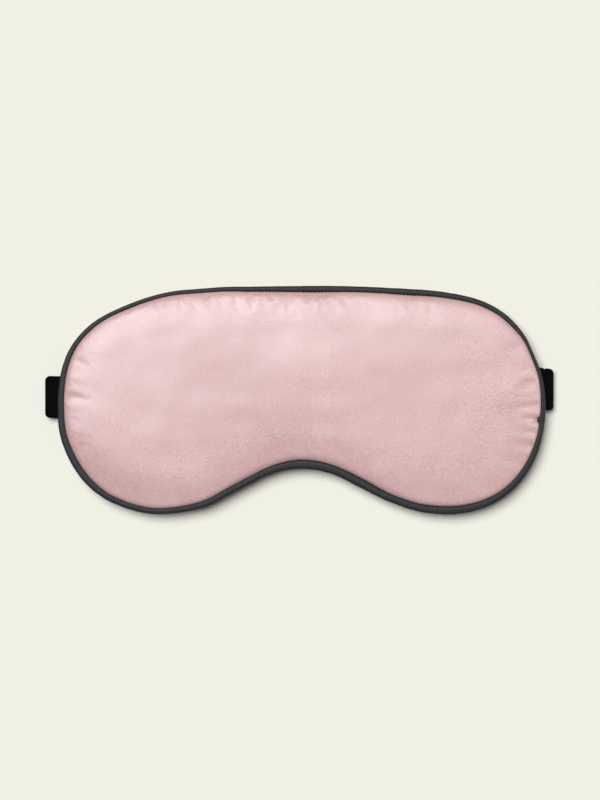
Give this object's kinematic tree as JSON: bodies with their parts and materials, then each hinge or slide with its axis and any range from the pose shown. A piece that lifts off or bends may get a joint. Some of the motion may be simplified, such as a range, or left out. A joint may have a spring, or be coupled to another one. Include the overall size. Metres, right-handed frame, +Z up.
{
  "type": "sleep eye mask",
  "caption": "Padded satin sleep mask with a corded piping edge, a nose notch and an adjustable elastic strap folded under it.",
  "frame": {"origin": "centre of the footprint of the mask as it lies, front face up, on a surface", "axes": "+X along the mask's length, +Y towards the forehead, +Z up out of the front face"},
  "size_m": [0.219, 0.0982, 0.0117],
  "materials": {
    "front_satin": "satin weave, soft sheen",
    "back_satin": "satin weave, soft sheen",
    "wadding": "soft polyester wadding",
    "lining": "matt woven lining",
    "piping_satin": "satin weave, cut on the bias",
    "cord": "braided cotton",
    "thread_dark": "spun polyester thread",
    "elastic": "matt brushed elastic",
    "slider_plastic": "moulded, low gloss"
  },
  "bodies": {
    "mask": {"front_panel": "front_satin", "back_panel": "back_satin", "front_filling": "wadding", "back_filling": "wadding", "blackout_liner": "lining", "piping_cover": "piping_satin", "piping_cord": "cord", "seam_thread": "thread_dark", "strap_left_end": "elastic", "strap_right_end": "elastic", "bartack_left": "thread_dark", "bartack_right": "thread_dark"},
    "strap_left_side": {"strap_left_side": "elastic"},
    "strap_left_rear": {"strap_left_rear": "elastic", "strap_slider": "slider_plastic", "slider_loop_stitching": "thread_dark"},
    "strap_right_side": {"strap_right_side": "elastic"},
    "strap_right_rear": {"strap_right_rear": "elastic", "tail_stitching": "thread_dark"}
  },
  "joints": [
    {"name": "strap_open", "type": "hinge", "parent": "mask", "child": "strap_left_side", "pos_m": [-0.1071, 0.0037, 0.0004], "axis": [0, 1, 0], "range_deg": [0, 80]},
    {"name": "strap_left_bend", "type": "hinge", "parent": "strap_left_side", "child": "strap_left_rear", "pos_m": [-0.0481, 0.0037, 0.0022], "axis": [0, -1, 0], "range_deg": [0, 80]},
    {"name": "strap_right_fold", "type": "hinge", "parent": "mask", "child": "strap_right_side", "pos_m": [0.1071, 0.0037, 0.0004], "axis": [0, -1, 0], "range_deg": [0, 80]},
    {"name": "strap_right_bend", "type": "hinge", "parent": "strap_right_side", "child": "strap_right_rear", "pos_m": [0.0481, 0.0037, 0.0022], "axis": [0, 1, 0], "range_deg": [0, 80]}
  ],
  "couplings": [
    {"joint": "strap_left_bend", "follows": "strap_open", "ratio": 1},
    {"joint": "strap_right_fold", "follows": "strap_open", "ratio": 1},
    {"joint": "strap_right_bend", "follows": "strap_open", "ratio": 1}
  ]
}
